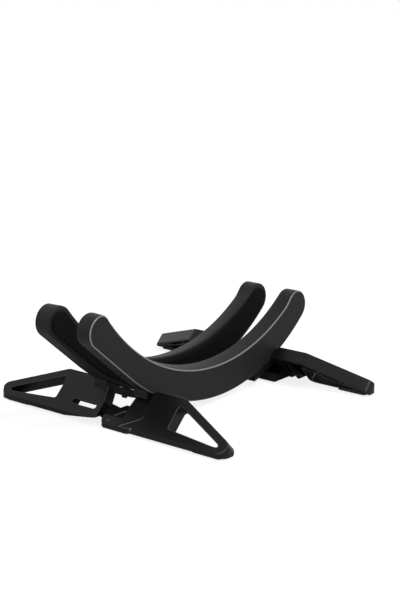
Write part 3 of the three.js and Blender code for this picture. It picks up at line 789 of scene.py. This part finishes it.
# a domed head with a star socket; start is under the head
def screwPiece(name, size, start, way, look, body, nodes, side, end):
    r, h, shank, length = size["head"], size["headHeight"], size["shank"], size["length"]
    socket = r * 0.48
    profile = [
        (-h * 0.45, 0), (-h * 0.45, socket), (-h * 0.97, socket), (-h, r * 0.6), (-h * 0.9, r * 0.82),
        (-h * 0.6, r * 0.97), (-h * 0.35, r), (0, r), (0, shank), (length - shank, shank),
        (length, shank * 0.3), (length, 0),
    ]
    bm = turned(profile, (0, 0, 0), (0, 0, 1), 36)
    for vert in bm.verts:  # six lobes
        across = Vector(vert.co.xy)
        if abs(across.length - socket) < 0.01:
            vert.co.xy = across * (1 + 0.13 * math.cos(6 * math.atan2(across.y, across.x)))
    turn = Vector(way).to_track_quat("Z", "Y").to_matrix().to_4x4()
    bmesh.ops.transform(bm, matrix=Matrix.Translation(start) @ turn, verts=bm.verts)
    return finishPiece(name, bm, looks[look], body, nodes, side, end, smooth=28)


def pinPiece(end):
    x0, x1 = wing["nearX"] + pin["start"], wing["nearX"] + hub["length"] + pin["beyond"]
    r, chamfer = hub["pin"], pin["chamfer"]
    length = x1 - x0
    ring = length - pin["groove"]  # the groove that holds the retaining ring
    ringEnd, deep = ring + pin["grooveWidth"], r - pin["grooveDepth"]
    profile = [
        (0, 0), (0, r - chamfer), (chamfer, r), (ring, r), (ring, deep), (ringEnd, deep), (ringEnd, r),
        (length - chamfer, r), (length, r - chamfer), (length, 0),
    ]
    bm = turned(profile, (x0, 0, hub["z"]), (1, 0, 0), 40)
    return finishPiece(
        f"{end}HingePin", bm, looks["steel"], "right_half", [f"{end}_hinge_pin"], "left", end,
    )


def clipPiece(end):
    x0 = wing["nearX"] + hub["length"] + gap
    z, eye, mouth = hub["z"], clip["eye"], clip["mouth"]
    front, back = x0 - 1, x0 + 2
    ring = rod((x0, 0, z), (x0 + clip["thickness"], 0, z), clip["radius"], 48)
    cut(
        ring,
        rod((front, 0, z), (back, 0, z), hub["pin"] + clip["play"], 40),
        block(front, back, -mouth, mouth, z, z + 10),
        rod((front, eye, z - eye), (back, eye, z - eye), clip["eyeRadius"], 24),
        rod((front, -eye, z - eye), (back, -eye, z - eye), clip["eyeRadius"], 24),
    )
    return finishPiece(
        f"{end}PinClip", ring, looks["blackSteel"], "right_half", [f"{end}_pin_clip"],
        "left", end, bevel=0.12,
    )


for side in ("left", "right"):
    cheekShell(side)
    cheekCover(side)
    gripPadPiece(side)
    print(side, "cheek made")
    for end in ("near", "far"):
        wingPiece(side, end)
        footPiece(f"{side}{end.capitalize()}Foot", tipFoot, f"{side}_{end}_foot", f"{side}_half", side, end)
        for i, (place, up) in enumerate(screwPlaces(end)):
            head = place - up * (wing["saddle"]["thickness"] + gap)
            screwPiece(
                f"{side}{end.capitalize()}WingScrew{i + 1}", wingScrew, head, up, "blackSteel",
                f"{side}_half", [f"{side}_{end}_wing_screw_{i + 1}"], side, end,
            )
        print(side, end, "wing made")

for end in ("near", "far"):
    pinPiece(end)
    clipPiece(end)
    footPiece(f"{end}HubFoot", hubFoot, f"{end}_hub_foot", "right_half", "left", end)
    start = (wing["nearX"] - hubScrew["proud"] + hubScrew["headHeight"], hubScrew["y"], hubScrew["z"])
    screwPiece(
        f"{end}HubScrew", hubScrew, start, (1, 0, 0), "steel", "right_half",
        [f"{end}_hub_screw"], "left", end,
    )

for name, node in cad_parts.items():
    if "cover_screw" in name:
        node.data.materials.clear()
        node.data.materials.append(looks["blackSteel"])
print("small pieces made")

# camera, floor and light

view = {
    "from": (-1620.31, -1297.351, 674.275), "yaw": 51.8486, "pitch": 13.9203, "roll": 0.6955,
    "focal": 1368.555, "frameHeight": 600,  # pixels
}


studio = {  # lengths in metres, power in watts
    "around": 0.55, "backdrop": 1.0,
    "floorSize": 40, "floorBelow": 0.0004, "floorGlow": 1.32, "floorGlowShare": 0.62,
    "key": {"way": (0.0, -0.65, 0.75), "distance": 2.6, "size": (0.8, 0.8), "power": 26},
    "front": {"way": (-0.6, -0.78, 0.12), "distance": 2.8, "size": (0.9, 0.5), "power": 7},
}


def makeCamera():
    data = bpy.data.cameras.new("camera")
    data.sensor_width = 36
    data.lens = data.sensor_width * view["focal"] / view["frameHeight"]
    data.clip_start, data.clip_end = 0.05, 200
    yaw, pitch, roll = (math.radians(view[key]) for key in ("yaw", "pitch", "roll"))
    ahead = Vector((math.cos(pitch) * math.sin(yaw), math.cos(pitch) * math.cos(yaw), -math.sin(pitch)))
    level = Vector((math.cos(yaw), -math.sin(yaw), 0))
    above = level.cross(ahead)
    right = math.cos(roll) * level + math.sin(roll) * above
    up = math.cos(roll) * above - math.sin(roll) * level
    camera = bpy.data.objects.new("camera", data)
    camera.matrix_world = Matrix.Translation((Vector(view["from"]) + Vector((shift, 0, 0))) * mm) @ Matrix(
        (right, up, -ahead)
    ).transposed().to_4x4()
    bpy.context.scene.collection.objects.link(camera)
    bpy.context.scene.camera = camera


def makeFloor():
    bm = bmesh.new()
    bmesh.ops.create_grid(bm, x_segments=1, y_segments=1, size=studio["floorSize"])
    bmesh.ops.translate(bm, vec=(0, 0, -studio["floorBelow"]), verts=bm.verts)
    floor = temporary(bm, "floor")
    bm.free()
    look = Look("paleFloor")
    look.set(Roughness=0.9)
    look.feed(look.surface.inputs["Base Color"], (0.86, 0.86, 0.86, 1))
    look.feed(look.surface.inputs["Specular IOR Level"], 0.0)
    white = look.node("Emission", {}, {"Color": (1, 1, 1, 1), "Strength": studio["floorGlow"]})
    mixed = look.node("MixShader", {}, {0: look.node("LightPath") * studio["floorGlowShare"], 2: white})
    look.tree.links.new(look.surface.outputs[0], mixed.socket.node.inputs[1])
    look.tree.links.new(mixed.socket, look.tree.nodes["Material Output"].inputs["Surface"])
    floor.data.materials.append(look.material)


def areaLight(name, way, distance, size, power):
    data = bpy.data.lights.new(name, "AREA")
    data.shape, data.size, data.size_y, data.energy = "RECTANGLE", size[0], size[1], power
    lamp = bpy.data.objects.new(name, data)
    way = Vector(way).normalized()
    turn = way.to_track_quat("Z", "Y").to_matrix().to_4x4()
    lamp.matrix_world = Matrix.Translation(way * distance) @ turn
    bpy.context.scene.collection.objects.link(lamp)


def makeWorld():
    world = bpy.data.worlds.new("studio")
    bpy.context.scene.world = world
    world.use_nodes = True
    nodes, links = world.node_tree.nodes, world.node_tree.links
    path = nodes.new("ShaderNodeLightPath")
    soft, white = nodes["Background"], nodes.new("ShaderNodeBackground")
    mixed = nodes.new("ShaderNodeMixShader")
    soft.inputs["Color"].default_value = (1, 1, 1, 1)
    soft.inputs["Strength"].default_value = studio["around"]
    white.inputs["Color"].default_value = (1, 1, 1, 1)
    white.inputs["Strength"].default_value = studio["backdrop"]
    seen = nodes.new("ShaderNodeMath")
    seen.operation = "MAXIMUM"
    links.new(path.outputs["Is Camera Ray"], seen.inputs[0])
    links.new(path.outputs["Is Glossy Ray"], seen.inputs[1])
    links.new(seen.outputs[0], mixed.inputs[0])
    links.new(soft.outputs[0], mixed.inputs[1])
    links.new(white.outputs[0], mixed.inputs[2])
    links.new(mixed.outputs[0], nodes["World Output"].inputs["Surface"])


makeCamera()
makeFloor()
areaLight("keyLight", **studio["key"])
areaLight("frontLight", **studio["front"])
makeWorld()
bpy.context.scene.view_settings.view_transform = "Standard"
print("stage made")
